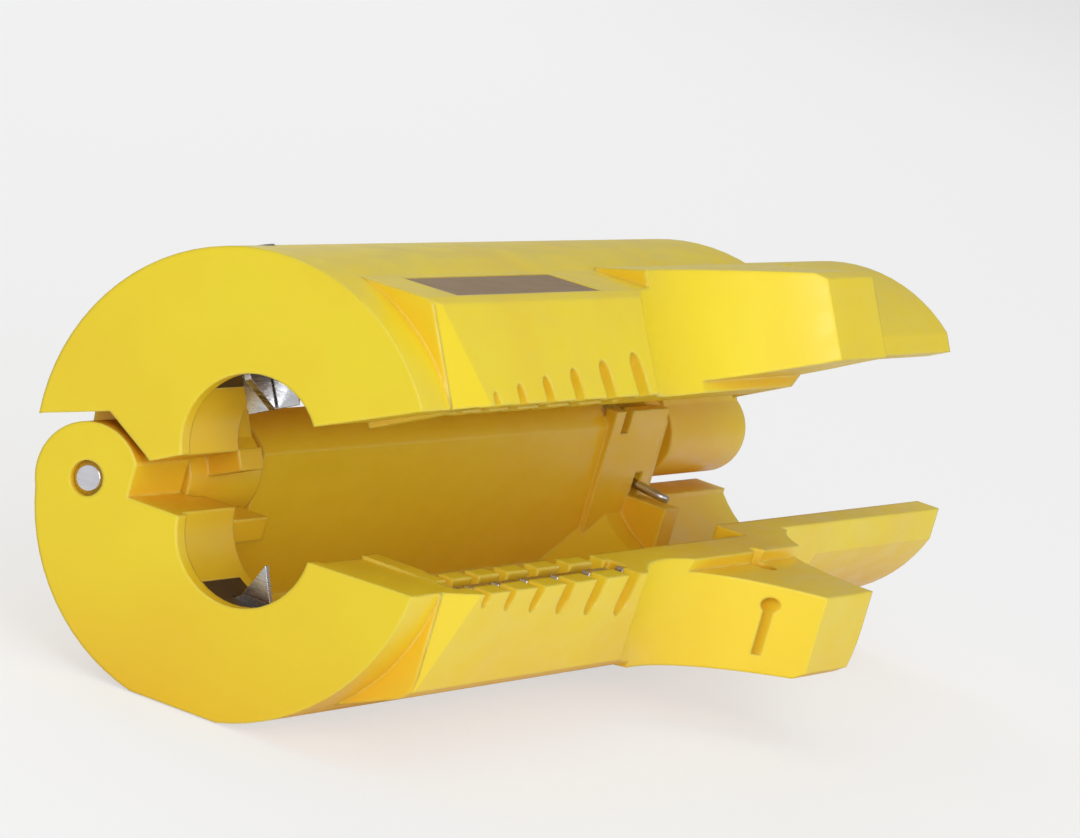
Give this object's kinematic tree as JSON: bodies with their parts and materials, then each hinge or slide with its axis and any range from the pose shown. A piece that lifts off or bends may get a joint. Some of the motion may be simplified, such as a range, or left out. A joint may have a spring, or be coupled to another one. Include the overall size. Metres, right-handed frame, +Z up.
{
  "type": "cable stripper",
  "caption": "Pocket stripper for round data and fibre cable: two yellow half shells sprung open on a long hinge pin, blades in the nose bore and graded wire notches along the grip pads.",
  "frame": {"origin": "centre of the nose bore on the front face, on the parting plane of the fixed lower shell", "axes": "+X from the nose to the tail along the bore and the hinge pin, +Y towards the hinge, +Z up through the upper shell"},
  "size_m": [0.125, 0.0388, 0.0358],
  "materials": {
    "shell_yellow": "satin",
    "pin_steel": "polished",
    "spring_steel": "bright drawn",
    "dark_plastic": "matt",
    "blade_steel": "ground",
    "screw_steel": "zinc plated",
    "label_brown": "matt"
  },
  "bodies": {
    "lower_half": {"lower_shell": "shell_yellow", "hinge_pin": "pin_steel", "pin_clip": "spring_steel", "torsion_spring": "spring_steel", "spring_sleeve": "dark_plastic", "lower_blade_carrier": "dark_plastic", "lower_point_blade": "blade_steel", "lower_carrier_screw": "screw_steel", "lower_notch_strip": "blade_steel"},
    "upper_half": {"upper_shell": "shell_yellow", "upper_blade_carrier": "dark_plastic", "upper_jacket_blade": "blade_steel", "upper_slit_blade": "blade_steel", "upper_carrier_screw": "screw_steel", "upper_notch_strip": "blade_steel", "label_plate": "label_brown"}
  },
  "joints": [
    {"name": "shell_hinge", "type": "hinge", "parent": "lower_half", "child": "upper_half", "pos_m": [0, 0.01265, 0], "axis": [1, 0, 0], "range_deg": [0, 28], "stiffness_Nm_per_rad": 0.12, "springref_deg": -17.19, "deforming": ["torsion_spring"]}
  ]
}
